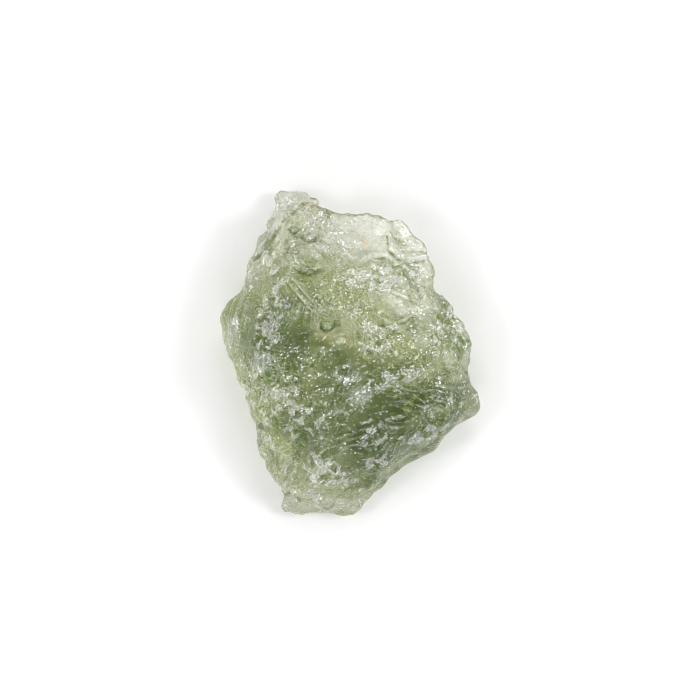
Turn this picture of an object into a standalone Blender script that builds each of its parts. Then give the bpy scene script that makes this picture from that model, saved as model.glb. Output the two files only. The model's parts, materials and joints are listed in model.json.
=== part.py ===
"""A natural moldavite: one lump of green impact glass, etched and pitted, that rests on a small flat spot.

The lump is made as such a stone broke and weathered. A few slabs of glass, each with a knife-thin rim and
faceted faces, are run together. Hollows are then scooped out of the faces, small scalloped pits are etched
over all of it, and the underside is ground flat where the stone rests. Lengths below are in millimetres.
"""

import math

import bmesh
import bpy
import numpy as np
from mathutils import Matrix, Vector, bvhtree, geometry, noise

MM = 0.001
STONE_LENGTH = 24.6
STONE_WIDTH = 19.6

GRAIN = 0.25
MOST_TRIANGLES = 9400
REST_WEAR = 0.4
REST_WEAR_AGAIN = 0.02
EDGE_THICKNESS = 0.5
UNDERSIDE_TOP = 1.5

GLASS_GREEN = (0.20, 0.27, 0.09, 1.0)
GLASS_ROUGHNESS = 0.25

# Rims run clockwise from the top, as (across, along, height). Spots are heights inside the rim.
BODY_RIM = [
    (-4.4, 11.45, 6.2), (-3.7, 11.35, 6.2), (-3.0, 11.2, 6.1), (-2.4, 11.05, 6.0), (-1.8, 10.85, 5.9),
    (-1.4, 10.6, 5.8), (-0.7, 10.5, 5.7), (0.0, 10.6, 5.7), (0.6, 10.6, 5.7), (1.2, 10.55, 5.7),
    (1.8, 10.35, 5.7), (2.4, 10.25, 5.6), (3.0, 10.0, 5.5), (3.4, 10.15, 5.3), (3.7, 10.3, 5.2),
    (4.1, 10.1, 5.1), (4.5, 9.6, 5.0), (4.8, 9.1, 5.0), (5.3, 8.7, 5.0), (5.6, 8.4, 5.0),
    (5.8, 8.0, 5.0), (5.85, 7.5, 5.0), (5.95, 7.0, 5.1), (6.25, 6.5, 5.2), (6.5, 6.0, 5.2),
    (6.35, 5.5, 5.2), (6.3, 5.1, 5.2), (6.45, 4.7, 5.1), (6.8, 4.5, 5.0), (7.4, 4.45, 4.9),
    (7.7, 4.0, 4.8), (8.0, 3.45, 4.7), (8.3, 2.95, 4.6), (8.65, 2.55, 4.5), (8.75, 2.0, 4.4),
    (8.85, 1.5, 4.4), (9.0, 1.3, 4.4), (8.9, 1.0, 4.4), (9.05, 0.6, 4.3), (9.0, 0.0, 4.3),
    (9.05, -0.4, 4.2), (8.9, -0.9, 4.1), (9.05, -1.4, 3.8), (9.2, -2.0, 3.5), (9.6, -2.7, 3.2),
    (9.95, -3.4, 2.9), (9.95, -3.9, 2.8), (9.95, -4.3, 2.6), (9.7, -4.75, 2.5), (8.9, -5.05, 2.4),
    (8.2, -5.55, 2.3), (7.95, -6.0, 2.2),
    (7.45, -6.5, 2.1), (7.05, -6.95, 2.0), (6.7, -7.35, 1.9), (6.1, -7.55, 1.9), (5.3, -7.85, 1.8),
    (4.7, -8.1, 1.8), (4.2, -8.5, 1.8), (3.6, -8.95, 1.8), (3.0, -9.3, 1.8), (2.5, -9.8, 1.7),
    (2.1, -10.2, 1.7), (1.5, -10.8, 1.6), (0.9, -11.5, 1.5), (0.2, -12.0, 1.4), (-0.5, -12.35, 1.3),
    (-1.2, -12.2, 1.4), (-2.0, -12.0, 1.7), (-2.9, -11.55, 2.4), (-3.7, -11.15, 2.9), (-4.4, -10.85, 3.1),
    (-5.1, -10.3, 3.2), (-5.7, -9.7, 3.3), (-6.0, -9.1, 3.4), (-6.2, -8.4, 3.5), (-6.25, -8.0, 3.5),
    (-6.7, -7.6, 3.5), (-6.9, -7.1, 3.5), (-7.0, -6.4, 3.5), (-7.0, -5.8, 3.5), (-7.1, -5.3, 3.5),
    (-7.3, -4.95, 3.5), (-7.7, -4.75, 3.4), (-7.75, -4.4, 3.4), (-7.9, -3.8, 3.4), (-8.15, -3.1, 3.4),
    (-8.5, -2.5, 3.4), (-8.65, -2.0, 3.4), (-8.8, -1.4, 3.4), (-8.95, -0.9, 3.4), (-9.0, -0.4, 3.4),
    (-9.35, 0.0, 3.4), (-9.5, 0.6, 3.4), (-9.65, 1.3, 3.5), (-9.7, 2.0, 3.5), (-9.85, 2.6, 3.6),
    (-9.75, 3.4, 3.7), (-9.5, 3.8, 3.8), (-8.9, 4.3, 4.0), (-8.4, 4.9, 4.2), (-8.1, 5.4, 4.4),
    (-7.9, 6.2, 4.6), (-7.3, 7.0, 5.0), (-6.9, 7.8, 5.4), (-6.0, 8.7, 5.8), (-5.6, 9.4, 6.0),
    (-5.4, 10.1, 6.1), (-5.1, 10.7, 6.2), (-5.0, 11.1, 6.2),
]
BODY_TOP = [
    # the peak at the upper left, with the bubble pits on it
    (-4.3, 10.9, 6.6), (-3.2, 10.2, 6.9), (-4.8, 9.6, 6.8), (-5.2, 8.6, 7.0), (-2.3, 9.7, 6.6),
    (-2.2, 8.3, 6.7), (-3.8, 8.8, 7.2), (-4.2, 7.5, 7.5),
    # the thin pale scoop along the top edge, and the clear flake at its right
    (-1.0, 9.4, 5.9), (0.5, 9.3, 5.7), (1.8, 9.3, 5.8), (-0.8, 7.8, 6.0), (0.6, 8.0, 5.8), (1.6, 7.9, 5.9),
    (2.9, 9.2, 6.0), (2.7, 8.3, 6.2), (3.2, 7.5, 6.3), (4.0, 7.0, 6.2), (4.2, 9.0, 5.3), (5.0, 8.2, 5.3),
    (4.6, 7.5, 5.5),
    # the step up from the scoop to the crest
    (0.2, 6.9, 6.6), (1.4, 7.0, 6.7), (2.6, 6.9, 6.7), (1.0, 6.0, 7.4), (2.6, 5.8, 7.4), (4.0, 5.9, 6.9),
    (5.3, 6.2, 5.9), (5.6, 5.0, 6.0), (-3.0, 6.8, 7.3), (-2.2, 6.1, 7.1), (-1.2, 6.3, 7.0), (-3.5, 5.6, 7.8),
    # the crest from left to right
    (-6.0, 6.5, 7.0), (-5.4, 5.2, 8.0), (-6.8, 4.0, 7.6), (-3.8, 4.6, 8.5), (-2.3, 4.3, 8.6), (-1.0, 4.6, 8.4),
    (0.3, 4.3, 8.3), (2.0, 4.7, 8.1), (3.2, 4.4, 7.9), (4.8, 3.7, 7.3), (6.0, 3.8, 6.5), (6.9, 3.4, 6.0),
    (-4.5, 2.8, 8.9), (-3.0, 3.2, 9.0), (-1.0, 3.1, 9.0), (0.2, 2.2, 8.8),
    # the left facet and the silvery ridge beside it
    (-7.2, 2.6, 7.2), (-6.7, 1.2, 7.9), (-7.4, 0.2, 7.3), (-6.8, -1.0, 7.8), (-7.0, -2.2, 7.2),
    (-8.4, 3.4, 5.6), (-8.9, 2.0, 5.0), (-8.4, 0.8, 5.6),
    # the dark smooth hollow left of the middle
    (-5.0, 1.0, 8.1), (-4.4, -0.6, 7.9), (-3.0, 0.4, 7.9), (-1.4, 0.2, 8.0), (0.4, 0.4, 8.0), (-2.2, 1.6, 8.1),
    # the plates at the right
    (2.5, 3.2, 8.0), (4.2, 2.6, 7.6), (3.3, 1.7, 7.7), (4.8, 1.4, 7.5), (2.6, 0.6, 8.6), (3.9, -0.4, 8.5),
    (1.4, 1.2, 8.7), (6.2, 1.5, 6.9), (7.3, 0.6, 6.3), (6.6, -0.8, 6.9), (8.0, 1.5, 5.4), (8.2, -0.4, 5.4),
    (7.4, -1.7, 6.5),
    # the ridge across the middle and the dark trough below it
    (0.8, -2.0, 8.4), (2.3, -2.2, 8.7), (3.8, -1.5, 8.8), (5.2, -1.0, 8.0), (3.2, -3.3, 7.9), (5.0, -2.9, 7.6),
    (6.5, -2.8, 7.2), (7.9, -3.0, 6.2), (1.8, -4.4, 7.8), (0.2, -5.4, 7.6), (3.0, -5.0, 7.5), (5.0, -4.8, 7.0),
    (6.6, -4.5, 6.7), (1.6, -6.6, 7.1), (3.4, -6.4, 6.9),
    # the edge above the long smooth face at the lower right
    (8.7, -4.1, 4.9), (7.9, -4.9, 5.4), (6.6, -5.9, 5.6), (5.3, -6.6, 5.7), (4.0, -7.1, 5.8), (2.9, -8.1, 5.6),
    (2.0, -9.0, 5.0), (1.3, -9.8, 4.2),
    # the lower left and the foot
    (-5.6, -3.6, 7.4), (-3.6, -2.6, 8.2), (-1.6, -2.8, 8.3), (-6.4, -4.6, 6.2), (-4.4, -5.0, 7.4),
    (-2.0, -5.6, 7.6), (-5.8, -6.6, 5.6), (-4.2, -7.2, 6.2), (-2.4, -7.8, 6.4), (-0.6, -7.6, 6.6),
    (-5.2, -8.6, 4.9), (-3.6, -9.4, 4.8), (-1.8, -9.4, 5.2), (0.4, -9.0, 5.4), (-4.4, -10.4, 3.8),
    (-3.0, -10.7, 3.6), (-1.8, -10.9, 3.2), (-0.2, -11.0, 3.0), (0.6, -10.6, 3.2), (-0.8, -11.8, 2.2),
]
BODY_UNDER = [
    # the keel, with the flat spot
    (-4.0, -4.2, 0.0), (-4.6, -0.6, 0.0), (-3.2, 2.0, 0.0), (-0.6, 2.2, 0.1), (0.6, 0.0, 0.0), (3.4, -3.2, 0.0),
    (4.4, -4.8, 0.2), (1.0, -6.5, 0.0), (-2.0, -7.2, 0.0), (-1.0, -2.0, 0.0),
    # the slopes at the left, the foot and the lower right
    (-7.0, 2.5, 1.4), (-7.3, -1.5, 1.5), (-6.2, -4.8, 1.8), (-5.0, -8.2, 1.3), (-2.5, -10.3, 0.9),
    (0.0, -10.5, 1.0), (2.0, -8.3, 0.9), (4.5, -6.2, 1.0), (6.5, -4.0, 1.6),
    # the deep hollow below the pale right side
    (5.2, -1.0, 2.2), (7.0, -1.2, 3.0), (2.8, 0.8, 3.2), (5.4, 1.2, 4.2), (7.2, 1.4, 3.8), (3.4, 3.2, 4.7),
    (5.4, 3.6, 4.4), (1.0, 4.0, 3.6),
    # the thin end, hollow below
    (2.4, 5.8, 4.6), (4.6, 5.8, 4.5), (0.2, 6.2, 4.2), (-2.2, 4.8, 2.2), (-2.4, 6.8, 4.2), (-4.8, 5.0, 1.8),
    (-6.6, 5.4, 1.9), (-4.4, 7.6, 4.0), (-3.2, 9.2, 4.5), (-1.0, 8.6, 4.4), (0.8, 9.2, 4.5), (2.0, 8.0, 4.6),
    (4.0, 8.0, 4.4),
]

# A thin pale shelf, low down, that shows past the upper left edge.
SHELF_RIM = [
    (-2.0, 11.0, 1.9), (-2.4, 11.4, 1.7), (-2.7, 11.8, 1.6), (-3.1, 11.9, 1.6), (-3.55, 12.22, 1.5),
    (-4.2, 12.28, 1.5), (-5.0, 12.1, 1.5), (-5.6, 11.95, 1.5), (-5.5, 11.5, 1.5), (-5.75, 10.9, 1.5),
    (-5.95, 10.3, 1.5), (-6.35, 9.8, 1.5), (-6.1, 9.4, 1.6), (-6.5, 8.95, 1.6), (-7.05, 8.9, 1.6),
    (-7.25, 8.5, 1.6), (-7.25, 8.0, 1.7), (-7.4, 7.5, 1.7), (-7.75, 7.1, 1.7), (-8.1, 6.7, 1.8),
    (-8.15, 6.0, 1.9), (-8.35, 5.3, 2.0), (-8.7, 4.85, 2.1), (-8.9, 4.6, 2.2), (-8.6, 4.0, 2.4),
    (-7.6, 3.2, 2.4), (-6.6, 4.4, 3.4), (-5.5, 6.6, 4.4), (-4.4, 8.6, 5.2), (-3.2, 9.8, 5.4), (-2.0, 10.3, 5.3),
]
SHELF_TOP = [
    (-4.8, 11.3, 2.5), (-3.6, 11.5, 2.4), (-3.2, 10.6, 5.6), (-4.5, 10.3, 5.7), (-5.2, 8.8, 5.7),
    (-5.9, 7.6, 5.4), (-6.6, 6.2, 5.0), (-7.3, 4.8, 4.0), (-6.2, 9.0, 2.4), (-7.5, 6.6, 2.5),
]
SHELF_UNDER = [
    (-3.8, 10.9, 1.0), (-5.2, 9.4, 0.8), (-6.2, 7.6, 0.8), (-7.2, 5.2, 1.0), (-4.5, 9.4, 2.6), (-6.0, 6.2, 2.0),
]

# A low foot that shows past the lower left edge.
FOOT_RIM = [
    (-6.05, -9.65, 1.3), (-5.9, -8.6, 1.4), (-4.6, -7.4, 1.2), (-2.2, -8.2, 1.2), (-0.6, -10.6, 1.2),
    (-1.2, -12.0, 1.0), (-2.0, -12.08, 1.0), (-3.0, -12.0, 1.0), (-4.0, -12.0, 1.0), (-4.95, -11.95, 1.0),
    (-5.3, -11.45, 1.1), (-5.25, -10.85, 1.1), (-5.3, -10.45, 1.2), (-5.7, -10.1, 1.2),
]
FOOT_TOP = [(-4.2, -11.2, 2.0), (-2.8, -11.3, 2.1), (-4.6, -9.8, 2.4), (-2.6, -9.8, 2.5)]
FOOT_UNDER = [(-4.0, -11.0, 0.5), (-2.6, -10.9, 0.45), (-4.4, -9.4, 0.45)]

# Conchoidal hollows: (across, along, side, radius, depth, stretch, turn in degrees). The side is 1 on top
# and -1 underneath; the stretch lengthens the hollow along its turn.
HOLLOWS = [
    (-2.3, 0.7, 1, 3.2, 0.75, 1.25, 10), (4.0, -3.7, 1, 3.0, 0.70, 1.55, 18), (0.6, -5.7, 1, 2.6, 0.55, 1.35, 28),
    (0.3, 8.9, 1, 3.4, 0.30, 1.25, 0), (4.6, 8.6, 1, 2.4, 0.22, 1.20, 125), (-3.0, 6.9, 1, 1.9, 0.45, 1.25, 35),
    (3.4, 3.1, 1, 2.2, 0.38, 1.25, -12), (-8.6, 2.2, 1, 2.8, 0.35, 1.20, 80), (-5.4, -0.4, 1, 1.5, 0.35, 1.2, 60),
    (6.6, -4.5, 1, 1.0, 0.35, 1.00, 0), (-1.75, 2.25, 1, 0.62, 0.30, 1.0, 0), (-1.9, -10.9, 1, 1.0, 0.22, 1.0, 0),
    (-4.9, -8.4, 1, 2.0, 0.35, 1.30, 60), (0.2, -10.4, 1, 2.4, 0.30, 1.35, 40), (5.4, 5.6, 1, 1.6, 0.30, 1.4, 60),
    (6.3, -7.0, 1, 1.9, 0.25, 1.7, 35), (3.6, -8.2, 1, 2.0, 0.25, 1.6, 38), (-5.7, 7.0, 1, 1.5, 0.32, 1.3, 55),
    (7.6, 2.2, 1, 1.7, 0.30, 1.4, 120), (1.4, 5.3, 1, 1.3, 0.25, 1.2, 20), (-6.9, -3.4, 1, 1.6, 0.32, 1.2, 70),
    (-2.8, -3.9, 1, 1.7, 0.30, 1.3, 15), (-1.2, -8.6, 1, 1.5, 0.28, 1.2, 30), (7.3, -0.4, 1, 1.4, 0.3, 1.2, 80),
    (-3.0, 9.8, 1, 1.2, 0.16, 1.8, 88), (1.0, -0.6, 1, 1.4, 0.28, 1.3, 10), (-4.0, -10.2, 1, 1.2, 0.2, 1.3, 140),
    (-6.6, 3.9, -1, 3.0, 0.45, 1.2, 40), (-6.6, -3.2, -1, 2.6, 0.42, 1.3, 80), (4.6, 6.4, -1, 2.8, 0.25, 1.2, 20),
    (0.4, 6.4, -1, 2.8, 0.30, 1.3, 0), (6.3, 1.0, -1, 3.0, 0.35, 1.2, 70), (6.0, -3.6, -1, 2.2, 0.40, 1.3, 40),
    (0.9, -9.4, -1, 2.2, 0.32, 1.3, 50), (-5.2, -7.0, -1, 1.9, 0.32, 1.2, 110), (1.2, 9.0, -1, 1.8, 0.15, 1.3, 0),
    (-4.6, 6.4, -1, 1.8, 0.28, 1.2, 60), (3.4, 4.2, -1, 1.6, 0.30, 1.2, 150), (7.8, -1.6, -1, 1.4, 0.22, 1.2, 90),
]

# Scalloped pits: cells of this size, dug this deep at their middles, and stretched along the flow of the glass.
PIT_SIZES = ((2.6, 0.26), (1.25, 0.15), (0.75, 0.07))
PIT_STRETCH = 1.7
# The flow ran at the first angle at the lower right of the stone, and at the second at its upper left.
FLOW_TURNS = (28.0, 96.0)
# Smooth faces, where the pits fade: (across, along, half length, half width, turn in degrees).
SMOOTH_FACES = [
    (-2.4, 0.9, 3.4, 1.7, 10), (3.9, -3.7, 4.6, 1.1, 20), (0.4, -5.6, 2.6, 1.2, 30), (3.4, 3.1, 2.0, 1.1, -15),
    (5.3, -7.0, 4.6, 0.8, 34), (0.2, -10.6, 2.2, 0.9, 38), (-8.9, 2.2, 1.0, 1.8, 0), (4.6, 8.6, 1.9, 1.2, -50),
    (0.2, 8.9, 2.6, 1.3, 0),
]
# The worn spot underneath, given the same way.
REST_SPOT = (-0.8, -2.6, 4.6, 3.4, 100)


def slab(mesh, rim, top, under):
    """Adds one closed slab of glass: facets over the spots on top and underneath, and a thin edge all round."""
    count = len(rim)
    ring = [(i, (i + 1) % count) for i in range(count)]
    edges = []
    for spots, side in ((top, 1), (under, -1)):
        lift = side * EDGE_THICKNESS / 2
        edge = [mesh.verts.new((across, along, height + lift)) for across, along, height in rim]
        edges.append(edge)
        every = edge + [mesh.verts.new(point) for point in spots]
        plan = [v.co.xy for v in every]
        _, _, facets, sources, _, _ = geometry.delaunay_2d_cdt(plan, ring, [], 1, 1e-6)
        for facet in facets:
            face = mesh.faces.new([every[sources[i][0]] for i in facet])
            face.normal_update()
            if face.normal.z * side < 0:
                face.normal_flip()
    upper, lower = edges
    for i, j in ring:
        mesh.faces.new((upper[i], upper[j], lower[j], lower[i]))


def object_from(mesh, name):
    """Turns a bmesh into an object in the scene."""
    data = bpy.data.meshes.new(name)
    mesh.to_mesh(data)
    mesh.free()
    made = bpy.data.objects.new(name, data)
    bpy.context.scene.collection.objects.link(made)
    return made


def settle(made):
    """Gives the object the mesh that its modifiers make."""
    graph = bpy.context.evaluated_depsgraph_get()
    data = bpy.data.meshes.new_from_object(made.evaluated_get(graph))
    made.modifiers.clear()
    old = made.data
    made.data = data
    bpy.data.meshes.remove(old)


def keep_one_skin(lump):
    """Deletes every loose speck of skin, so that only the largest connected one is left."""
    mesh = bmesh.new()
    mesh.from_mesh(lump.data)
    left = set(mesh.verts)
    skins = []
    while left:
        skin, edge_of_it = set(), [left.pop()]
        while edge_of_it:
            vert = edge_of_it.pop()
            skin.add(vert)
            near = {edge.other_vert(vert) for edge in vert.link_edges} & left
            left -= near
            edge_of_it.extend(near)
        skins.append(skin)
    skins.sort(key=len)
    specks = [vert for skin in skins[:-1] for vert in skin]
    bmesh.ops.delete(mesh, geom=specks, context="VERTS")
    mesh.to_mesh(lump.data)
    mesh.free()


def run_together(name, grain):
    """The slabs as one closed skin of even grain. The grain is in millimetres."""
    mesh = bmesh.new()
    slab(mesh, BODY_RIM, BODY_TOP, BODY_UNDER)
    slab(mesh, SHELF_RIM, SHELF_TOP, SHELF_UNDER)
    slab(mesh, FOOT_RIM, FOOT_TOP, FOOT_UNDER)
    lump = object_from(mesh, name)
    skin = lump.modifiers.new("one skin", "REMESH")
    skin.mode = "VOXEL"
    skin.voxel_size = grain
    settle(lump)
    keep_one_skin(lump)
    return lump


def points_and_normals(data):
    """The mesh's points and their normals, as arrays."""
    points = np.empty(len(data.vertices) * 3, np.float32)
    data.vertices.foreach_get("co", points)
    normals = np.empty(len(data.vertices) * 3, np.float32)
    data.vertex_normals.foreach_get("vector", normals)
    return points.reshape(-1, 3).astype(float), normals.reshape(-1, 3).astype(float)


def put_points(data, points):
    """Gives the mesh these points."""
    data.vertices.foreach_set("co", points.astype(np.float32).ravel())
    data.update()


def scoop(lump):
    """Carves each hollow: a point inside its ellipsoid is pushed in, straight, to the ellipsoid's far wall."""
    points, _ = points_and_normals(lump.data)
    skin = bvhtree.BVHTree.FromObject(lump, bpy.context.evaluated_depsgraph_get())
    far = 50.0
    for across, along, side, radius, depth, stretch, turn in HOLLOWS:
        start = Vector((across, along, side * far))
        spot, normal, _, _ = skin.ray_cast(start, Vector((0.0, 0.0, -side)))
        tilt = Vector((normal.x, normal.y, normal.z + side)).normalized()
        centre = np.array(spot + tilt * (radius - depth))
        frame = Matrix.Rotation(math.radians(turn), 3, "Z")
        sizes = Matrix.Diagonal((radius * stretch, radius / stretch**0.5, radius))
        squeeze = np.array((frame @ sizes @ frame.transposed()).inverted())
        offset = (points - centre) @ squeeze.T
        inward = squeeze @ -np.array(tilt)
        inside = (offset**2).sum(1) < 1.0
        a = inward @ inward
        b = offset[inside] @ inward
        c = (offset[inside] ** 2).sum(1) - 1.0
        push = (-b + np.sqrt(b * b - a * c)) / a
        points[inside] += push[:, None] * -np.array(tilt)
    put_points(lump.data, points)


def inside_oval(points, oval):
    """1 well inside an oval on the plan, down to 0 outside it."""
    across, along, half_length, half_width, turn = oval
    angle = math.radians(turn)
    dx, dy = points[:, 0] - across, points[:, 1] - along
    u = (dx * math.cos(angle) + dy * math.sin(angle)) / half_length
    v = (-dx * math.sin(angle) + dy * math.cos(angle)) / half_width
    return np.clip(3.0 - 2.0 * np.sqrt(u * u + v * v), 0.0, 1.0)


def smoothness(points):
    """0 where the glass is pitted, 1 in the middle of a smooth face."""
    upper = np.max([inside_oval(points, oval) for oval in SMOOTH_FACES], axis=0)
    return np.where(points[:, 2] > UNDERSIDE_TOP, upper, inside_oval(points, REST_SPOT))


def bowls(points, size, turn):
    """Round bowls that meet in sharp ridges: 0 at a bowl's middle and about 1 at the ridges."""
    frame = Matrix.Rotation(math.radians(-turn), 3, "Z")
    spacing = Vector((1 / (size * PIT_STRETCH), 1 / size, 1 / size))
    near = [noise.voronoi((frame @ Vector(p)) * spacing)[0][0] for p in points]
    return np.clip(np.array(near) ** 2 / 0.45, 0.0, 1.3)


def etch(lump, pit_sizes):
    """Digs scalloped pits all over, but for the smooth faces."""
    for size, depth in pit_sizes:
        points, normals = points_and_normals(lump.data)
        strength = depth * (1.0 - 0.85 * smoothness(points))
        upper_left = np.clip((points[:, 1] - points[:, 0]) / 6.0, -0.5, 0.5) + 0.5
        lower_right_bowls = bowls(points, size, FLOW_TURNS[0])
        upper_left_bowls = bowls(points, size, FLOW_TURNS[1])
        height = lower_right_bowls * (1 - upper_left) + upper_left_bowls * upper_left
        points += normals * (strength * (height - 0.45))[:, None]
        put_points(lump.data, points)


def roughen(lump, size, height):
    """Makes the rim and faces uneven with slow, low swells."""
    points, normals = points_and_normals(lump.data)
    swell = np.array([noise.fractal(Vector(p) / size, 0.8, 2.0, 3) for p in points])
    points += normals * (height * swell)[:, None]
    put_points(lump.data, points)


def thin_out(lump, most):
    """Merges facets where the surface is flat until this many triangles are left."""
    lump.data.calc_loop_triangles()
    thin = lump.modifiers.new("fewer facets", "DECIMATE")
    thin.ratio = most / len(lump.data.loop_triangles)
    thin.use_collapse_triangulate = True
    settle(lump)


def rest_flat(lump, wear):
    """Wears the lowest part away, so that the stone stands on a small flat spot at height 0."""
    points, _ = points_and_normals(lump.data)
    points[:, 2] = np.maximum(points[:, 2] - points[:, 2].min() - wear, 0.0)
    put_points(lump.data, points)


def fit_and_scale(lump):
    """Brings the plan to the stone's length and width, centred, and millimetres to metres."""
    points, _ = points_and_normals(lump.data)
    low, high = points.min(0), points.max(0)
    middle = (low + high) / 2
    shift = Matrix.Translation((-middle[0], -middle[1], 0.0))
    grow = (STONE_WIDTH / (high - low)[0] * MM, STONE_LENGTH / (high - low)[1] * MM, MM)
    lump.data.transform(Matrix.Diagonal((*grow, 1.0)) @ shift)


def green_glass():
    """The stone's material."""
    made = bpy.data.materials.new("green glass")
    made.use_nodes = True
    shader = made.node_tree.nodes["Principled BSDF"]
    shader.inputs["Base Color"].default_value = GLASS_GREEN
    shader.inputs["Roughness"].default_value = GLASS_ROUGHNESS
    shader.inputs["Metallic"].default_value = 0.0
    return made


def main():
    for old in list(bpy.data.objects):
        bpy.data.objects.remove(old)
    stones = bpy.data.collections.new("moldavite")
    bpy.context.scene.collection.children.link(stones)

    lump = run_together("moldavite", GRAIN)
    roughen(lump, 4.0, 0.28)
    scoop(lump)
    etch(lump, PIT_SIZES)
    rest_flat(lump, REST_WEAR)
    thin_out(lump, MOST_TRIANGLES)
    rest_flat(lump, REST_WEAR_AGAIN)
    keep_one_skin(lump)
    fit_and_scale(lump)

    lump.data.materials.append(green_glass())
    bpy.context.scene.collection.objects.unlink(lump)
    stones.objects.link(lump)


main()
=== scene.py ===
"""A rough moldavite on a white table, seen from straight above.

The stone is one piece of clear green glass. Its skin starts from the plain solid and gets the fine relief of
natural etching: scalloped pits, small tilted faces, flow lines, shell-shaped ripples, burst bubbles and cracks.
"""

import json
import math

import bmesh
import bpy
import numpy as np
from mathutils import Matrix, Vector, noise

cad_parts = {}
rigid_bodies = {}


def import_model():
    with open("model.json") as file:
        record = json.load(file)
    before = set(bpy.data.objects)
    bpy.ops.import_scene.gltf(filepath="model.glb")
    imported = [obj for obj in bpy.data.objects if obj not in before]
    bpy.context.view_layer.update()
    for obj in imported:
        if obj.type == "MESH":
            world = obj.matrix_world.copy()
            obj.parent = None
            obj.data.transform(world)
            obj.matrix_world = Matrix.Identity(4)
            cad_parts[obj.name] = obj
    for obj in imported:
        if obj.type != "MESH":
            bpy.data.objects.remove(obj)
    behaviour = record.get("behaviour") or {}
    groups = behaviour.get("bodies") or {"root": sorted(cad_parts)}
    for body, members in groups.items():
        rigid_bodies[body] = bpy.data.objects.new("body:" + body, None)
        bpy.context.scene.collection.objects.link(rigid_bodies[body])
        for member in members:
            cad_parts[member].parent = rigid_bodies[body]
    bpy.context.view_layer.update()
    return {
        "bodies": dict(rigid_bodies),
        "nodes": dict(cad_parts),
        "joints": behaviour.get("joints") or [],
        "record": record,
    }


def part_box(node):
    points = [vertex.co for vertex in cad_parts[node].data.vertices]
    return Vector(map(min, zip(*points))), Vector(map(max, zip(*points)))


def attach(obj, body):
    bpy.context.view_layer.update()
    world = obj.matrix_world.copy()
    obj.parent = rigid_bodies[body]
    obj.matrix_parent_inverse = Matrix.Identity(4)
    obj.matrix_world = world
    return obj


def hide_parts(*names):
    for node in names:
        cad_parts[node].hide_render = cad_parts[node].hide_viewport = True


MM = 0.001
SKIN_GRAIN = 0.098
SOFTENING_PASSES = 5
HIDDEN_RATIO = 0.70
# The worn spot is on the table but for this gap, so that the two faces don't fall together.
TABLE_GAP = 0.00002

COAT_IOR = 6.0
FACET_DEPTH = 0.00020
BOX_DISTANCE = 0.42
# Soft boxes: (name, the direction it stands in, size in metres, radiance).
SOFT_BOXES = [
    ("soft box right", (0.66, 0.10, 0.75), (0.12, 0.13), 10.5),
    ("soft box left", (-0.64, -0.10, 0.76), (0.11, 0.14), 7.5),
    ("soft box far", (0.10, 0.66, 0.74), (0.16, 0.08), 7.0),
    ("soft box near", (-0.05, -0.62, 0.78), (0.16, 0.08), 6.0),
]
# The room's brightness by height: 0 at the horizon and 1 straight above, where the camera is.
ROOM = [(0.0, 1.15), (0.15, 1.05), (0.4, 0.72), (0.8, 0.68), (0.92, 0.80), (0.975, 0.15), (1.0, 0.15)]

# Relief is listed in millimetres on the plan, and each turn is in degrees from +X towards +Y.
# Sparkling ground: (across, along, half length, half width, turn, strength).
ROUGH_GROUND = [
    (-6.0, 2.2, 3.2, 1.1, 75, 1.0), (-7.2, -2.6, 2.6, 1.2, 100, 0.8), (1.9, 5.7, 3.4, 1.2, 0, 1.0),
    (4.6, 5.6, 1.8, 0.9, -60, 0.8), (1.8, 1.2, 1.8, 1.3, 20, 1.0), (6.9, 1.2, 1.4, 1.4, 0, 0.9),
    (3.2, -1.9, 3.0, 0.8, 22, 1.0), (5.4, -6.0, 2.4, 0.6, 16, 0.9), (2.0, -8.2, 1.2, 0.7, 20, 0.9),
    (-5.6, -3.2, 2.4, 1.4, -15, 0.9), (-2.2, -8.8, 1.6, 1.6, 0, 0.8), (-6.4, -6.2, 0.9, 1.8, 10, 0.7),
    (1.6, -6.2, 1.8, 0.8, 0, 0.5), (-5.2, 6.0, 1.2, 0.9, 0, 0.7), (-1.0, -2.2, 2.2, 0.9, 0, 0.5),
    (7.6, 2.4, 1.4, 0.8, -60, 0.8), (-0.8, -9.4, 1.2, 0.7, 0, 0.8), (-2.5, -10.4, 0.9, 0.8, 0, 0.8),
    (6.9, 4.0, 1.2, 0.6, -50, 0.7), (8.2, -3.6, 1.4, 1.0, 0, 0.6), (-3.0, -5.2, 2.6, 1.8, 30, 0.6),
    (-0.6, -4.0, 1.6, 1.0, 0, 0.5), (-2.4, -0.8, 2.4, 1.3, -10, 0.45), (-4.6, 11.0, 1.8, 0.8, 0, 0.9),
    (-6.9, 6.6, 2.4, 0.8, 58, 0.7), (-1.1, 7.9, 1.7, 1.0, -38, 0.75),
    (-1.4, 9.8, 1.3, 0.6, -30, 0.7),
]
# Faces that etching left smooth: (across, along, half length, half width, turn, strength).
SMOOTH_FACES = [
    (-3.9, 8.4, 2.6, 1.5, 85, 1.0), (0.2, 8.9, 2.6, 1.6, 12, 1.0), (3.8, 3.2, 2.2, 1.1, 0, 1.0),
    (3.2, -4.3, 4.4, 1.3, 22, 0.8), (0.6, -5.6, 2.0, 1.4, 20, 0.7), (6.2, -6.9, 4.0, 1.0, 38, 1.0),
    (-3.3, 1.0, 1.6, 1.2, 0, 0.5), (-0.6, 1.6, 1.4, 1.0, 0, 0.6), (7.4, -1.6, 1.8, 0.8, 0, 0.6),
    (-8.4, 2.6, 2.4, 0.6, 80, 0.5),
]
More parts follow.
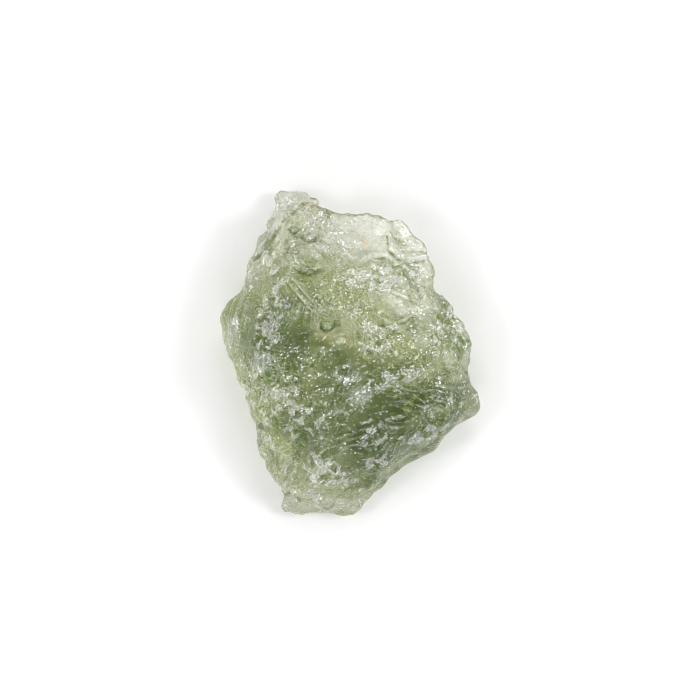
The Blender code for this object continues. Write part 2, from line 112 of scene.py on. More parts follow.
# Thin, clear glass: (across, along, half length, half width, turn, strength).
CLEAR_GLASS = [
    (0.0, 8.1, 2.8, 2.6, -10, 1.7), (-0.8, 10.3, 2.2, 0.8, 0, 1.2), (-7.3, 6.4, 2.6, 1.1, 58, 1.5),
    (-4.6, 10.9, 1.8, 0.9, 0, 1.2), (4.6, 8.6, 2.2, 1.8, -20, 0.5), (1.4, 3.5, 3.2, 1.2, 0, 0.7),
    (-3.4, 8.0, 1.2, 1.0, 0, 0.3), (-1.6, 5.4, 1.4, 0.8, 0, 0.4), (-6.2, -10.2, 1.2, 0.8, 0, 0.5), (-4.2, 7.6, 1.0, 0.7, 60, 0.5),
    (-6.2, -7.4, 3.2, 0.9, 105, 0.7), (-2.6, -10.7, 3.6, 1.0, -4, 1.2), (5.8, 0.6, 1.2, 1.0, 0, 0.5), (2.8, 0.8, 1.2, 1.0, 0, 0.6),
]
# Where the green is deeper: (across, along, half length, half width, turn, strength).
DEEP_GREEN = [
    (-4.4, 1.2, 3.3, 1.5, 95, 0.85), (-2.0, -0.4, 2.4, 1.5, -20, 0.55), (3.3, -4.0, 5.0, 1.8, 22, 1.0),
    (0.3, -5.6, 2.2, 1.8, 30, 1.0), (3.2, -6.5, 3.2, 1.0, 14, 0.9), (-1.0, -3.4, 3.4, 2.2, 0, 0.6),
    (-5.0, -5.0, 1.6, 1.4, 0, 0.6), (-2.4, -6.6, 2.4, 1.6, 0, 0.7), (7.6, 1.4, 2.4, 1.1, 108, 0.6),
    (6.4, 2.6, 0.9, 0.6, -50, 0.6), (8.9, -2.4, 1.8, 0.5, 108, 0.6), (6.0, -6.1, 3.8, 1.3, 36, 0.95),
    (-6.2, 8.1, 1.6, 0.35, 55, 1.1), (-5.8, -8.0, 1.2, 0.45, 110, 0.7), (-3.1, 6.05, 1.1, 0.4, 4, 0.7),
    (4.2, 5.6, 1.7, 0.6, -52, 0.35), (3.0, -1.9, 2.4, 1.1, 10, 0.75), (0.4, -8.9, 2.6, 1.1, 20, 0.6),
    (-8.0, 2.0, 2.6, 1.3, 80, 0.6), (-5.0, 2.8, 1.2, 1.0, 0, 0.9), (-4.2, 8.8, 2.6, 1.0, 82, 0.2), (6.6, -2.8, 3.0, 1.6, 10, 0.7),
    (4.8, -0.3, 2.0, 1.0, 10, 0.5), (3.0, -8.0, 2.6, 1.5, 40, 1.0), (6.2, -7.1, 4.0, 1.6, 38, 1.2),
    (9.2, -4.2, 1.0, 0.8, 0, 0.5), (-6.0, 0.8, 2.8, 1.1, 85, 0.8), (0.8, -1.2, 3.0, 1.5, -15, 0.6),
]
# Flow lines: (across, along, half length, half width, turn, spacing, height).
FLOW_LINES = [
    (-3.8, 8.6, 2.8, 1.6, 84, 0.24, 0.014), (-6.2, 8.4, 1.9, 0.8, 56, 0.30, 0.036),
    (-1.6, 3.1, 1.2, 3.0, 80, 0.24, 0.036), (0.6, 8.8, 2.6, 1.6, 20, 0.42, 0.020),
    (7.2, -2.4, 2.0, 1.4, 8, 0.26, 0.026), (-2.6, -8.2, 1.8, 1.2, 48, 0.32, 0.040),
    (4.2, 2.4, 1.4, 0.9, 26, 0.26, 0.036), (5.0, -7.1, 4.4, 0.9, 34, 0.40, 0.014),
    (-8.7, 2.4, 2.4, 1.0, 78, 0.36, 0.030), (7.6, 1.9, 2.4, 0.8, -52, 0.30, 0.036),
    (-1.5, 7.9, 1.9, 1.3, -38, 0.26, 0.040), (-4.6, -9.2, 1.8, 0.9, 60, 0.30, 0.030),
    (5.0, 7.6, 1.4, 0.9, 4, 0.24, 0.024), (-4.0, 4.4, 1.6, 1.2, -54, 0.24, 0.020),
]
# Shell ripples: (across, along, inner radius, outer radius, middle turn, half angle, spacing, height).
SHELL_RIPPLES = [
    (-2.9, 7.6, 0.7, 2.2, 235, 70, 0.36, 0.030), (-3.1, 6.2, 1.4, 3.4, 80, 50, 0.55, 0.030),
    (3.6, 10.6, 1.6, 4.8, 265, 42, 0.60, 0.022), (-1.2, 5.6, 1.6, 3.6, 262, 50, 0.48, 0.040),
    (5.0, -0.2, 2.0, 4.4, 262, 38, 0.55, 0.034), (-6.4, -1.4, 0.5, 1.8, 330, 70, 0.40, 0.036),
    (7.9, -2.6, 0.8, 2.6, 215, 45, 0.36, 0.036), (0.6, -8.4, 1.2, 3.2, 90, 50, 0.60, 0.024),
    (-1.2, -9.2, 1.0, 2.8, 265, 50, 0.50, 0.026), (-4.6, -2.0, 0.4, 1.4, 200, 110, 0.36, 0.036),
]
# Burst bubbles: (across, along, radius, depth, stretch, turn).
BURST_BUBBLES = [
    (-4.20, 9.25, 0.26, 0.18, 1.5, 0), (-3.10, 8.65, 0.34, 0.30, 1.7, -4), (-6.10, 7.60, 0.22, 0.16, 1.2, 60),
    (-6.10, 8.20, 0.16, 0.12, 1.2, 60), (-5.60, 5.30, 0.22, 0.16, 1.0, 0), (-1.75, 2.10, 0.50, 0.30, 1.1, 20),
    (-1.00, 2.20, 0.22, 0.16, 1.0, 0), (6.35, -4.60, 0.75, 0.40, 1.1, 0), (-1.80, -11.10, 0.62, 0.26, 1.0, 0),
    (-6.60, -5.45, 0.26, 0.20, 1.0, 0), (-0.75, 2.75, 0.14, 0.10, 1.0, 0), (-2.9, -0.9, 0.16, 0.10, 1.0, 0),
    (-0.45, -1.1, 0.20, 0.12, 1.0, 0), (0.3, -1.5, 0.15, 0.10, 1.0, 0), (-4.1, -1.9, 0.32, 0.22, 1.0, 0),
    (-0.8, -9.3, 0.2, 0.14, 1.0, 0), (5.9, -2.4, 0.24, 0.14, 1.0, 0), (1.8, 5.4, 0.16, 0.1, 1.0, 0),
    (2.6, -5.4, 0.2, 0.14, 1.0, 0), (-4.9, -2.3, 0.16, 0.1, 1.0, 0), (3.0, 0.2, 0.18, 0.12, 1.0, 0),
]
SMALL_BUBBLES = 160
# Ground dull, with a bluish look: (across, along, half length, half width, turn, strength).
FROSTED_SPOTS = [
    (0.75, -3.1, 1.0, 0.75, 20, 0.7), (-8.7, 2.4, 0.45, 0.3, 70, 1.0), (-8.9, 1.2, 1.4, 0.7, 85, 0.45),
    (-6.6, -0.6, 0.9, 0.7, 20, 0.6), (5.9, -4.2, 0.7, 0.3, -10, 0.5), (-0.2, -1.9, 1.0, 0.35, 10, 0.35), (-6.8, -7.0, 0.9, 2.4, 15, 0.3),
]
# Rusty wisps in the glass: (across, along, half length, half width, turn, strength).
RUSTY_WISPS = [
    (1.1, 8.5, 0.9, 0.22, 95, 0.8), (-4.3, 10.7, 0.4, 0.25, 60, 0.8), (-2.8, 10.9, 0.3, 0.2, 0, 0.8),
    (-1.4, 10.55, 0.3, 0.15, 0, 1.0), (-1.9, 1.2, 0.55, 0.35, -30, 1.0), (-0.3, 1.0, 0.3, 0.2, 0, 0.9),
    (8.2, -5.1, 0.5, 0.2, 30, 0.8), (6.7, -6.5, 0.5, 0.2, 30, 0.8), (-6.35, -6.9, 0.25, 0.2, 0, 1.0),
    (2.0, -8.8, 0.25, 0.15, 0, 0.7), (-2.9, -11.1, 0.4, 0.15, -20, 0.7),
]
# Cracks and ledges: the line's points on the plan, its width, and how far it is cut in.
CRACKS = [
    ([(2.7, 8.7), (2.8, 7.9), (3.3, 7.3), (3.9, 6.9), (4.7, 6.85), (5.5, 7.0)], 0.16, 0.22),
    ([(4.7, 7.7), (5.2, 7.65), (5.7, 7.5)], 0.10, 0.16), ([(4.0, 6.2), (4.7, 5.5), (5.2, 4.3)], 0.16, 0.22),
    ([(0.6, 6.6), (1.2, 7.0), (1.8, 7.25), (2.6, 7.2)], 0.13, 0.18),
    ([(3.0, 4.5), (4.0, 4.1), (4.9, 3.8)], 0.09, 0.08),
    ([(2.4, 2.2), (2.8, 1.9), (3.3, 1.7)], 0.20, 0.34), ([(3.4, 2.1), (4.1, 2.4), (4.8, 2.8)], 0.10, 0.16),
    ([(-4.8, 5.3), (-3.9, 4.2), (-3.0, 3.2)], 0.07, 0.10), ([(-4.4, 5.5), (-3.5, 4.4), (-2.7, 3.6)], 0.07, 0.10),
    ([(3.3, -2.7), (4.6, -2.95), (6.2, -2.9)], 0.09, 0.12),
    ([(-5.2, -10.25), (-4.4, -10.8), (-3.7, -11.05), (-2.9, -11.2)], 0.20, 0.34),
    ([(-4.2, 6.5), (-3.6, 6.0), (-3.0, 5.9), (-2.4, 6.2)], 0.16, 0.14), ([(-7.2, 7.0), (-6.3, 8.2), (-5.4, 9.4)], 0.22, 0.24),
]


def bare_copy(node, name):
    """The plain solid's mesh with its corners joined, as a new object, in millimetres."""
    mesh = bmesh.new()
    mesh.from_mesh(node.data)
    bmesh.ops.remove_doubles(mesh, verts=mesh.verts, dist=1e-7)
    bmesh.ops.scale(mesh, verts=mesh.verts, vec=(1 / MM, 1 / MM, 1 / MM))
    data = bpy.data.meshes.new(name)
    mesh.to_mesh(data)
    mesh.free()
    made = bpy.data.objects.new(name, data)
    bpy.context.scene.collection.objects.link(made)
    return made


def settle(made):
    """Gives the object the mesh that its modifiers make."""
    graph = bpy.context.evaluated_depsgraph_get()
    data = bpy.data.meshes.new_from_object(made.evaluated_get(graph))
    made.modifiers.clear()
    old = made.data
    made.data = data
    bpy.data.meshes.remove(old)


def fine_skin(stone):
    """Gives the stone an even, fine skin and softens the plain solid's facets."""
    skin = stone.modifiers.new("even skin", "REMESH")
    skin.mode = "VOXEL"
    skin.voxel_size = SKIN_GRAIN
    soft = stone.modifiers.new("soft facets", "SMOOTH")
    soft.factor = 0.5
    soft.iterations = SOFTENING_PASSES
    settle(stone)


def thin_hidden_side(stone):
    """Merges faces on the hidden side, so that nearly all of the fine skin is on the side that shows."""
    _, normals = points_and_normals(stone.data)
    hidden = stone.vertex_groups.new(name="hidden side")
    hidden.add([int(i) for i in np.flatnonzero(normals[:, 2] < -0.15)], 1.0, "REPLACE")
    thin = stone.modifiers.new("fewer faces underneath", "DECIMATE")
    thin.vertex_group = hidden.name
    thin.use_collapse_triangulate = True
    thin.ratio = HIDDEN_RATIO
    settle(stone)
    stone.vertex_groups.clear()


def points_and_normals(data):
    """The skin's points and normals, as arrays."""
    points = np.empty(len(data.vertices) * 3, np.float32)
    data.vertices.foreach_get("co", points)
    normals = np.empty(len(data.vertices) * 3, np.float32)
    data.vertex_normals.foreach_get("vector", normals)
    return points.reshape(-1, 3).astype(float), normals.reshape(-1, 3).astype(float)


def put_points(data, points):
    """Gives the skin these points."""
    data.vertices.foreach_set("co", points.astype(np.float32).ravel())
    data.update()


def sharpness(data):
    """How sharply the skin folds at each point: above 0 on crests, below 0 in creases."""
    points, normals = points_and_normals(data)
    ends = np.empty(len(data.edges) * 2, np.int32)
    data.edges.foreach_get("vertices", ends)
    one, other = ends.reshape(-1, 2).T
    length = np.linalg.norm(points[one] - points[other], axis=1)
    count = np.bincount(one, minlength=len(points)) + np.bincount(other, minlength=len(points))
    around = np.stack(
        [
            np.bincount(one, points[other, axis], len(points)) + np.bincount(other, points[one, axis], len(points))
            for axis in range(3)
        ],
        axis=1,
    )
    out = ((points - around / count[:, None]) * normals).sum(1)
    return out / length.mean()


def in_oval(points, across, along, half_length, half_width, turn):
    """Where each point is in an oval's own plan: along it, across it, and 1 at its middle down to 0 outside."""
    angle = math.radians(turn)
    dx, dy = points[:, 0] - across, points[:, 1] - along
    u = dx * math.cos(angle) + dy * math.sin(angle)
    v = -dx * math.sin(angle) + dy * math.cos(angle)
    reach = np.sqrt((u / half_length) ** 2 + (v / half_width) ** 2)
    share = np.clip(1.6 - 1.2 * reach, 0.0, 1.0)
    return u, v, share * share * (3 - 2 * share)


def bowls(points, size, stretch, turn):
    """Round bowls that meet in sharp ridges: 0 at a bowl's middle and about 1 at the ridges."""
    frame = Matrix.Rotation(math.radians(-turn), 3, "Z")
    spacing = Vector((1 / (size * stretch), 1 / size, 1 / size))
    near = [noise.voronoi((frame @ Vector(p)) * spacing)[0][0] for p in points]
    return np.clip(np.array(near) ** 2 / 0.45, 0.0, 1.3)


def shards(points, size, stretch, turn):
    """Small faces, each tilted its own way, that meet in grooves: heights for a slope of about 1."""
    frame = Matrix.Rotation(math.radians(-turn), 3, "Z")
    spacing = Vector((1 / (size * stretch), 1 / size, 1 / size))
    heights = np.empty(len(points))
    for number, point in enumerate(points):
        place = (frame @ Vector(point)) * spacing
        (first, second, _, _), (spot, _, _, _) = noise.voronoi(place)
        tilt = noise.noise_vector(spot * 9.1)
        heights[number] = (place - spot).dot(tilt) * min(4.0 * (second - first), 1.0)
    return heights * size


def swells(points, size, shift):
    """Smooth noise from about -1 to 1."""
    offset = Vector((shift, shift, shift))
    return np.array([noise.noise(Vector(p) / size + offset) for p in points]) * 2.0


def etched_ground(points, rough):
    """Scalloped pits and small tilted faces, as deep as the ground is rough."""
    patchy = np.clip(0.75 + 0.6 * swells(points, 0.9, 7.7), 0.15, 1.3)
    height = 0.110 * (bowls(points, 0.95, 1.5, 35) - 0.5)
    height += 0.070 * (bowls(points + 40.0, 0.52, 1.5, 70) - 0.5) * patchy
    height += 1.0 * shards(points + 20.0, 0.62, 1.6, 50)
    height += 1.0 * shards(points - 60.0, 0.34, 1.4, 20) * patchy
    return height * rough


def spots(points, table):
    """1 inside the ovals of a table and 0 away from them, at each point."""
    found = np.zeros(len(points))
    for across, along, half_length, half_width, turn, strength in table:
        _, _, share = in_oval(points, across, along, half_length, half_width, turn)
        found = np.maximum(found, share * strength)
    return found


def roughness_of_ground(points, upper):
    """How strongly each place is etched: near 1 on the sparkling ground, and little on the smooth faces."""
    rough = 0.10 + 0.10 * np.clip(swells(points, 2.4, 3.1), -1, 1)
    smooth = spots(points, SMOOTH_FACES)
    rough = np.maximum(rough - 0.45 * smooth, spots(points, ROUGH_GROUND))
    return np.where(upper, rough, 0.45 - 0.33 * smooth)


def deep_green(points):
    """How much deeper than elsewhere the green is: 1 in the dark hollow and the dark trough."""
    deep = spots(points, DEEP_GREEN) + 0.25 * swells(points, 1.6, 41.0)
    return np.clip(deep, 0, 1) - 0.5 * spots(points, CLEAR_GLASS)


def flow_lines(points, upper):
    """Fine grooves left by the streaks in the glass: heights, places in each flow's own plan, and how strong it is."""
    height = np.zeros(len(points))
    strong = np.zeros(len(points))
    plan = np.zeros((len(points), 3))
    bend = swells(points, 3.0, 11.0) * 0.5
    for number, (across, along, half_length, half_width, turn, spacing, size) in enumerate(FLOW_LINES):
        u, v, share = in_oval(points, across, along, half_length, half_width, turn)
        near = (share > 0.01) & upper
        streaks = np.zeros(len(points))
        shift = number * 17.0
        streaks[near] = [
            noise.noise(Vector((a / (spacing * 7), b / spacing, shift))) for a, b in zip(u[near], (v + bend)[near])
        ]
        ridges = 1.0 - 2.0 * np.abs(streaks) * 1.8
        height += size * share * np.where(near, ridges, 0.0)
        share = share * near * min(size / 0.036, 1.0)
        ahead = share > strong
        strong = np.where(ahead, share, strong)
        here = np.stack([u, v + bend, np.full(len(points), shift)], axis=1)
        plan = np.where(ahead[:, None], here, plan)
    return height, plan, strong


def shell_ripples(points, upper):
    """Curved steps that spread from where a flake broke off: heights, and painted light and shade on the steps from -1
    to 1.
    """
    height = np.zeros(len(points))
    painted_light_and_shade = np.zeros(len(points))
    wobble = swells(points, 1.6, 23.0) * 0.35
    for across, along, inner, outer, turn, half_angle, spacing, size in SHELL_RIPPLES:
        dx, dy = points[:, 0] - across, points[:, 1] - along
        radius = np.hypot(dx, dy)
        away = np.degrees(np.arctan2(dy, dx)) - turn
        away = np.abs((away + 180.0) % 360.0 - 180.0)
        share = np.clip((radius - inner) / 0.3, 0, 1) * np.clip((outer - radius) / 0.5, 0, 1)
        share *= np.clip((half_angle - away) / 18.0, 0, 1) * upper
        phase = (radius + wobble) / spacing
        saw = phase - np.floor(phase)
        steps = np.minimum(saw / 0.78, (1.0 - saw) / 0.22)
        height += size * share * (2.0 * steps - 1.0)
        # Painted light towards the top of each step and painted shade at its foot.
        painted_light_and_shade += share * (2.4 * steps - 1.4) * 0.7
    return height, painted_light_and_shade


def burst_bubbles(points, upper):
    """Round and stretched pits with a sharp rim, where gas bubbles were opened by etching: heights, and painted light
    inside each pit with a painted dark rim, darker on one side.
    """
    rng = np.random.default_rng(11)
    height = np.zeros(len(points))
    painted_light_and_shade = np.zeros(len(points))
    small = [
        (rng.uniform(-9, 9), rng.uniform(-11.5, 11), rng.uniform(0.10, 0.20), 0.08, rng.uniform(1, 1.5),
         rng.uniform(0, 180))
        for _ in range(SMALL_BUBBLES)
    ]
    for across, along, radius, depth, stretch, turn in BURST_BUBBLES + small:
        angle = math.radians(turn)
        dx, dy = points[:, 0] - across, points[:, 1] - along
        u = (dx * math.cos(angle) + dy * math.sin(angle)) / (radius * stretch)
        v = (-dx * math.sin(angle) + dy * math.cos(angle)) / radius
        reach = np.sqrt(u * u + v * v)
        line = max(0.16, 0.09 / radius)
        bowl = -depth * np.sqrt(np.clip(1.0 - reach * reach, 0, 1))
        rim = depth * 0.22 * np.exp(-(((reach - 1.12) / 0.16) ** 2))
        height += (bowl + rim) * upper
        # Painted light fills each pit, and a painted dark rim runs round it, darker on one side, as shade would fall.
        ring = np.exp(-(((reach - 1.0) / line) ** 2))
        lit = np.clip(1.4 - 1.4 * reach, 0, 1)
        painted_dark_outline = 3.2 * ring * np.clip(0.7 - v, 0.3, 1)
        painted_light_and_shade += (lit - painted_dark_outline) * min((radius / 0.3) ** 2, 0.28 / radius, 1.0) * upper
    return height, painted_light_and_shade


def cracks(points, upper):
    """Narrow grooves with one raised lip along each line: heights, and painted shade in the groove with a painted
    highlight on the lip.
    """
    height = np.zeros(len(points))
    painted_light_and_shade = np.zeros(len(points))
    plan = points[:, :2]
    for line, width, depth in CRACKS:
        nearest = np.full(len(points), 1e9)
        side = np.zeros(len(points))
        for start, end in zip(line[:-1], line[1:]):
            start, end = np.array(start), np.array(end)
            run = end - start
            share = np.clip(((plan - start) @ run) / (run @ run), 0, 1)
            offset = plan - (start + share[:, None] * run)
            away = np.hypot(offset[:, 0], offset[:, 1])
            closer = away < nearest
            nearest = np.where(closer, away, nearest)
            turned = run[0] * offset[:, 1] - run[1] * offset[:, 0]
            side = np.where(closer, np.sign(turned), side)
        groove = np.exp(-((nearest / width) ** 2)) * upper
        # How strongly the groove is painted with shade.
        dark = np.exp(-((nearest / (0.7 * width)) ** 2)) * upper
        lip = np.exp(-(((nearest - 1.8 * width) / width) ** 2)) * (side > 0) * upper
        height += depth * (0.45 * lip - groove)
        # Painted highlight on the raised lip and painted shade down the groove.
        painted_light_and_shade += 0.8 * lip - min(7 * depth, 1.6) * dark
    return height, painted_light_and_shade


def carve(stone, low, high):
    """Adds the fine relief along the skin's normals, and keeps the stone in its box."""
    points, normals = points_and_normals(stone.data)
    upper = normals[:, 2] > 0.05
    height, flow, flowing = flow_lines(points, upper)
    painted_light_and_shade = np.zeros(len(points))
    for relief in (shell_ripples, burst_bubbles, cracks):
        heights, painted_shading_of_relief = relief(points, upper)
        height += heights
        painted_light_and_shade += painted_shading_of_relief
    points += normals * height[:, None]
    put_points(stone.data, points)
    points, normals = points_and_normals(stone.data)
    resting = points[:, 2] < 0.06
    rough = roughness_of_ground(points, upper)
    ground = np.where(resting, 0.0, etched_ground(points, np.maximum(rough, 0.02)))
    points += normals * ground[:, None]
    points = np.clip(points, low, high)
    put_points(stone.data, points)
    fold = sharpness(stone.data)
    underside = np.clip(-normals[:, 2] * 2.5 - 0.3, 0, 1)
    # Some of these masks are painted light and shade: the painted shade in creases, and the painted light and shade of
    # ripples, bubbles and cracks.
    masks = {
        "etched": rough * (1.0 - underside),
        "underside": underside,
        "deep": deep_green(points),
        "crest": np.clip((fold - 0.03) / 0.16, 0, 1) * (1.0 - underside),
        # Painted shade for the creases, where the skin folds inwards.
        "painted_crease_shade": np.clip((-fold - 0.03) / 0.16, 0, 1),
        "painted_light_and_shade": np.clip(painted_light_and_shade, -3, 1),
        "flowing": flowing,
        "frosted": spots(points, FROSTED_SPOTS) * (1.0 - underside),
        "rusty": spots(points, RUSTY_WISPS) * (1.0 - underside),
    }
    for name, mask in masks.items():
        made = stone.data.attributes.new(name, "FLOAT", "POINT")
        made.data.foreach_set("value", mask.astype(np.float32))
    made = stone.data.attributes.new("flow", "FLOAT_VECTOR", "POINT")
    made.data.foreach_set("vector", flow.astype(np.float32).ravel())


def scaled(tree, place, scale, turn=0.0):
    """Object coordinates turned about the vertical and scaled, in cells per metre."""
    mapping = tree.nodes.new("ShaderNodeMapping")
    mapping.vector_type = "TEXTURE"
    mapping.inputs["Rotation"].default_value = (0.0, 0.0, math.radians(turn))
    mapping.inputs["Scale"].default_value = [1.0 / size for size in scale]
    tree.links.new(place, mapping.inputs["Vector"])
    return mapping.outputs["Vector"]


def mixed(tree, operation, first, second, third=None):
    """A Math node on links or plain numbers."""
    made = tree.nodes.new("ShaderNodeMath")
    made.operation = operation
    for number, value in enumerate((first, second, third)):
        if value is None:
            continue
        if isinstance(value, (int, float)):
            made.inputs[number].default_value = value
        else:
            tree.links.new(value, made.inputs[number])
    return made.outputs["Value"]


def mask(tree, name):
    """One of the masks that the skin carries."""
    made = tree.nodes.new("ShaderNodeAttribute")
    made.attribute_name = name
    return made.outputs["Fac"]


def noise_of(tree, place, scale, detail):
    """A Noise Texture's value."""
    made = tree.nodes.new("ShaderNodeTexNoise")
    made.inputs["Scale"].default_value = scale
    made.inputs["Detail"].default_value = detail
    tree.links.new(place, made.inputs["Vector"])
    return made.outputs["Fac"]


def ranged(tree, value, low, high, to_low=0.0, to_high=1.0):
    """A value brought from one range to another, and held inside it."""
    made = tree.nodes.new("ShaderNodeMapRange")
    for name, number in (("From Min", low), ("From Max", high), ("To Min", to_low), ("To Max", to_high)):
        made.inputs[name].default_value = number
    tree.links.new(value, made.inputs["Value"])
    return made.outputs["Result"]


def tiny_shards(tree, place, scale, turn):
    """Faces too small for the mesh, each tilted its own way: their heights, and a random colour for each."""
    cells = tree.nodes.new("ShaderNodeTexVoronoi")
    cells.inputs["Scale"].default_value = 1.0
    spot = scaled(tree, place, scale, turn)
    tree.links.new(spot, cells.inputs["Vector"])
    away = tree.nodes.new("ShaderNodeVectorMath")
    away.operation = "SUBTRACT"
    tree.links.new(spot, away.inputs[0])
    tree.links.new(cells.outputs["Position"], away.inputs[1])
    tilt = tree.nodes.new("ShaderNodeVectorMath")
    tilt.operation = "SUBTRACT"
    tree.links.new(cells.outputs["Color"], tilt.inputs[0])
    tilt.inputs[1].default_value = (0.5, 0.5, 0.5)
    height = tree.nodes.new("ShaderNodeVectorMath")
    height.operation = "DOT_PRODUCT"
    tree.links.new(away.outputs["Vector"], height.inputs[0])
    tree.links.new(tilt.outputs["Vector"], height.inputs[1])
    parts = tree.nodes.new("ShaderNodeSeparateColor")
    tree.links.new(cells.outputs["Color"], parts.inputs["Color"])
    return height.outputs["Value"], parts.outputs["Red"], parts.outputs["Green"]


def bumped(tree, height):
    """A normal bent by a height."""
    made = tree.nodes.new("ShaderNodeBump")
    made.inputs["Strength"].default_value = 1.0
    made.inputs["Distance"].default_value = FACET_DEPTH
    tree.links.new(height, made.inputs["Height"])
    return made.outputs["Normal"]


def blended(tree, share, first, second):
    """A colour that goes from the first to the second as the share goes from 0 to 1."""
    made = tree.nodes.new("ShaderNodeMix")
    made.data_type = "RGBA"
    made.clamp_factor = True
    tree.links.new(share, made.inputs["Factor"])
    for socket, colour in ((made.inputs[6], first), (made.inputs[7], second)):
        if isinstance(colour, tuple):
            socket.default_value = colour
        else:
            tree.links.new(colour, socket)
    return made.outputs[2]


def glass_skin(material):
    """Clear green glass: tinted by its depth, with painted shade in its creases and grooves and painted light on its
    ridges and under its glints, frosted where it is etched, with a fine grain.
    """
    tree = material.node_tree
    link = tree.links.new
    shader = tree.nodes["Principled BSDF"]
    shader.inputs["Transmission Weight"].default_value = 1.0
    shader.inputs["IOR"].default_value = 1.49
    shader.inputs["Metallic"].default_value = 0.0
    shader.inputs["Coat IOR"].default_value = COAT_IOR
    shader.inputs["Coat Roughness"].default_value = 0.28

    place = tree.nodes.new("ShaderNodeTexCoord").outputs["Object"]
    etched = mask(tree, "etched")
    frosted = mask(tree, "frosted")
    flow = tree.nodes.new("ShaderNodeAttribute")
    flow.attribute_name = "flow"
    lines = noise_of(tree, scaled(tree, flow.outputs["Vector"], (0.40, 3.6, 1.0)), 1.0, 2.0)
    lines = mixed(tree, "MULTIPLY", ranged(tree, lines, 0.38, 0.62, -1.0, 1.0), mask(tree, "flowing"))
    # Painted light and shade: the stripes along the flow streaks and the light and dark of ripples, bubbles and
    # cracks.
    painted_light_and_shade = mixed(tree, "ADD", lines, mask(tree, "painted_light_and_shade"))
    patches = noise_of(tree, place, 420.0, 5.0)
    clumps = ranged(tree, noise_of(tree, place, 1300.0, 4.0), 0.40, 0.60)
    large, chance, shine = tiny_shards(tree, place, (4200.0, 6000.0, 6000.0), 50.0)
    small, small_chance, small_shine = tiny_shards(tree, place, (7600.0, 10000.0, 10000.0), 20.0)

    # Bright flecks in clumps on the etched ground, and a few anywhere.
    likely = mixed(tree, "MULTIPLY_ADD", clumps, 0.7, mixed(tree, "MULTIPLY", etched, 0.7))
    likely = mixed(tree, "MULTIPLY_ADD", small_chance, 0.3, likely)
    likely = mixed(tree, "MULTIPLY_ADD", chance, 0.3, likely)
    bright = mixed(tree, "MULTIPLY_ADD", small_shine, 0.7, 0.3)
    flecks = mixed(tree, "MULTIPLY", ranged(tree, likely, 1.18, 1.26), bright)
    flecks = mixed(tree, "MULTIPLY_ADD", ranged(tree, small_chance, 0.88, 0.92), 0.5, flecks)

    # Clear green, deeper in the hollows, with painted shade in the creases and between the flecks of the etched
    # ground, and painted highlights under the flecks.
    green_depth_and_painted_shade = mixed(tree, "MULTIPLY_ADD", patches, 0.3, mixed(tree, "MULTIPLY_ADD", mask(tree, "deep"), 1.0, -0.2))
    # Painted shade in the creases.
    green_depth_and_painted_shade = mixed(tree, "MULTIPLY_ADD", mask(tree, "painted_crease_shade"), 0.7, green_depth_and_painted_shade)
    # Painted light and shade of streaks, ripples, bubbles and cracks.
    green_depth_and_painted_shade = mixed(tree, "MULTIPLY_ADD", painted_light_and_shade, -0.35, green_depth_and_painted_shade)
    # Painted shade between the flecks of the etched ground.
    painted_shade_between_flecks = mixed(tree, "MULTIPLY_ADD", clumps, -0.5, ranged(tree, small_chance, 0.65, 0.80, 0.4, 1.0))
    painted_shade_between_flecks = mixed(tree, "MULTIPLY", painted_shade_between_flecks, mixed(tree, "MAXIMUM", etched, 0.0))
    green_depth_and_painted_shade = mixed(tree, "MULTIPLY_ADD", painted_shade_between_flecks, 0.8, green_depth_and_painted_shade)
    # Painted highlight: the glass is paler under the flecks.
    green_depth_and_painted_shade = mixed(tree, "MULTIPLY_ADD", flecks, -0.5, green_depth_and_painted_shade)
    tint = blended(tree, green_depth_and_painted_shade, (1.0, 1.0, 0.94, 1), (0.18, 0.27, 0.035, 1))
    # Painted dark rims round the bubbles and down the cracks, near black.
    painted_dark_outline = ranged(tree, mask(tree, "painted_light_and_shade"), -0.6, -2.4, 0.0, 0.85)
    tint = blended(tree, painted_dark_outline, tint, (0.04, 0.05, 0.02, 1))
    tint = blended(tree, mixed(tree, "MULTIPLY", frosted, 0.8), tint, (0.55, 0.66, 0.78, 1))
    rusty = mixed(tree, "MULTIPLY", mask(tree, "rusty"), ranged(tree, noise_of(tree, place, 2600.0, 2.0), 0.46, 0.56))
    tint = blended(tree, rusty, tint, (1.0, 0.62, 0.30, 1))
    link(tint, shader.inputs["Base Color"])

    # The underside is ground dull, and the top is clear with some frost.
    frost = mixed(tree, "MULTIPLY_ADD", patches, 0.14, 0.02)
    link(mixed(tree, "MULTIPLY_ADD", mask(tree, "underside"), 0.25, frost), shader.inputs["Roughness"])

    # The flecks, sharp crests, frosted spots and the painted light of ridges, lips and streaks shine like silver.
    silver = mixed(tree, "MULTIPLY_ADD", mask(tree, "crest"), 0.20, flecks)
    silver = mixed(tree, "MULTIPLY_ADD", mixed(tree, "MULTIPLY", frosted, bright), 0.9, silver)
    silver = mixed(tree, "MULTIPLY_ADD", mixed(tree, "MAXIMUM", painted_light_and_shade, 0.0), 0.32, silver)
    silver = mixed(tree, "MULTIPLY", silver, mixed(tree, "SUBTRACT", 1.0, mask(tree, "underside")))
    silver.node.use_clamp = True
    link(silver, shader.inputs["Coat Weight"])

    # The bright skin follows every tiny face, and the clear glass under it is smoother.
    facets = mixed(tree, "MULTIPLY_ADD", small, 0.5, large)
    facets = mixed(tree, "MULTIPLY_ADD", lines, 0.10, facets)
    reach = mixed(tree, "MULTIPLY_ADD", etched, 0.7, 0.3)
    link(bumped(tree, mixed(tree, "MULTIPLY", facets, reach)), shader.inputs["Coat Normal"])
    reach = mixed(tree, "MULTIPLY_ADD", etched, 0.35, 0.06)
    link(bumped(tree, mixed(tree, "MULTIPLY", facets, reach)), shader.inputs["Normal"])

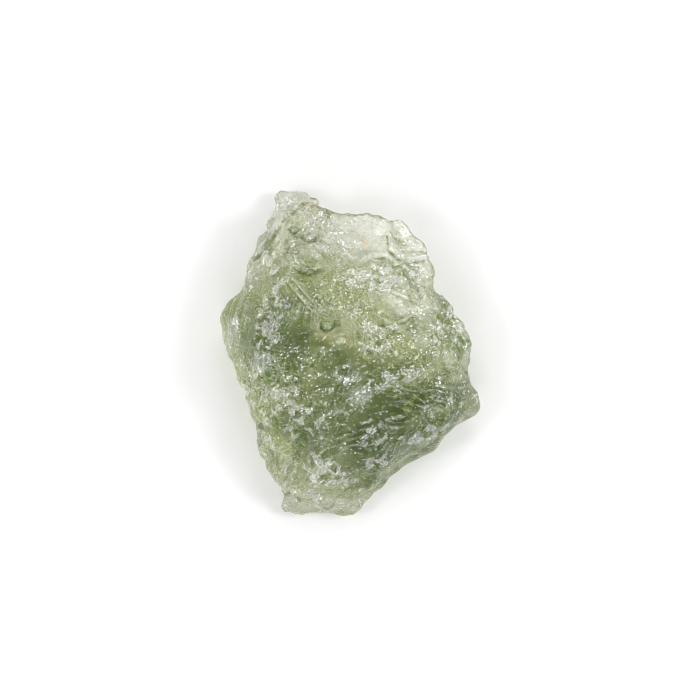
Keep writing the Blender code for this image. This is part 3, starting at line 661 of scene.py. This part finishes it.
    depth = tree.nodes.new("ShaderNodeVolumeAbsorption")
    depth.inputs["Color"].default_value = (0.58, 0.66, 0.01, 1)
    depth.inputs["Density"].default_value = 52.0
    link(depth.outputs["Volume"], tree.nodes["Material Output"].inputs["Volume"])


def material(name):
    """A new node material with a Principled BSDF."""
    made = bpy.data.materials.new(name)
    made.use_nodes = True
    return made


def table_top():
    """A wide white table top that the stone rests on."""
    mesh = bmesh.new()
    bmesh.ops.create_grid(mesh, x_segments=1, y_segments=1, size=0.6)
    bmesh.ops.translate(mesh, verts=mesh.verts, vec=(0.0, 0.0, -TABLE_GAP))
    data = bpy.data.meshes.new("table_top")
    mesh.to_mesh(data)
    mesh.free()
    made = bpy.data.objects.new("table_top", data)
    bpy.context.scene.collection.objects.link(made)
    paint = material("white table")
    shader = paint.node_tree.nodes["Principled BSDF"]
    shader.inputs["Base Color"].default_value = (0.9, 0.9, 0.9, 1)
    shader.inputs["Roughness"].default_value = 0.9
    shader.inputs["Specular IOR Level"].default_value = 0.0
    data.materials.append(paint)


def soft_light(name, toward, size, radiance):
    """A broad soft box that faces the stone. Its place is given by the direction it stands in."""
    data = bpy.data.lights.new(name, "AREA")
    data.shape = "RECTANGLE"
    data.size, data.size_y = size
    data.energy = radiance * math.pi * size[0] * size[1]
    made = bpy.data.objects.new(name, data)
    bpy.context.scene.collection.objects.link(made)
    direction = Vector(toward).normalized()
    made.location = direction * BOX_DISTANCE
    made.rotation_euler = direction.to_track_quat("Z", "Y").to_euler()


def pale_room():
    """A dim room: brighter part of the way up than at the horizon and around the camera."""
    room = bpy.data.worlds.new("pale room")
    bpy.context.scene.world = room
    room.use_nodes = True
    tree = room.node_tree
    way = tree.nodes.new("ShaderNodeTexCoord")
    split = tree.nodes.new("ShaderNodeSeparateXYZ")
    tree.links.new(way.outputs["Generated"], split.inputs["Vector"])
    ramp = tree.nodes.new("ShaderNodeValToRGB")
    ramp.color_ramp.elements.remove(ramp.color_ramp.elements[1])
    for number, (height, bright) in enumerate(ROOM):
        stop = ramp.color_ramp.elements[0] if number == 0 else ramp.color_ramp.elements.new(height)
        stop.position = height
        stop.color = (bright, bright, bright, 1)
    tree.links.new(split.outputs["Z"], ramp.inputs["Fac"])
    tree.links.new(ramp.outputs["Color"], tree.nodes["Background"].inputs["Color"])


def studio():
    """Soft boxes on four sides, a dim room, and the camera straight above."""
    for name, toward, size, radiance in SOFT_BOXES:
        soft_light(name, toward, size, radiance)
    pale_room()
    data = bpy.data.cameras.new("camera")
    camera = bpy.data.objects.new("camera", data)
    bpy.context.scene.collection.objects.link(camera)
    camera.location = (-0.04 * MM, 0.26 * MM, 0.404)
    data.sensor_width = 36.0
    data.lens = 36.0 * 0.4 / 0.0525
    data.clip_start = 0.01
    data.clip_end = 10.0
    bpy.context.scene.camera = camera
    bpy.context.scene.view_settings.view_transform = "Standard"
    bpy.context.scene.cycles.filter_width = 1.0


def moldavite():
    """The stone, in place of the plain solid."""
    plain = frame["nodes"]["moldavite"]
    low, high = (np.array(corner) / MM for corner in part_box("moldavite"))
    stone = bare_copy(plain, "moldavite_stone")
    fine_skin(stone)
    thin_hidden_side(stone)
    carve(stone, low, high)
    stone.data.transform(Matrix.Diagonal((MM, MM, MM, 1.0)))
    stone.data.shade_smooth()
    glass = material("moldavite glass")
    glass_skin(glass)
    stone.data.materials.clear()
    stone.data.materials.append(glass)
    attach(stone, "root")
    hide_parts("moldavite")


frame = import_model()
moldavite()
table_top()
studio()
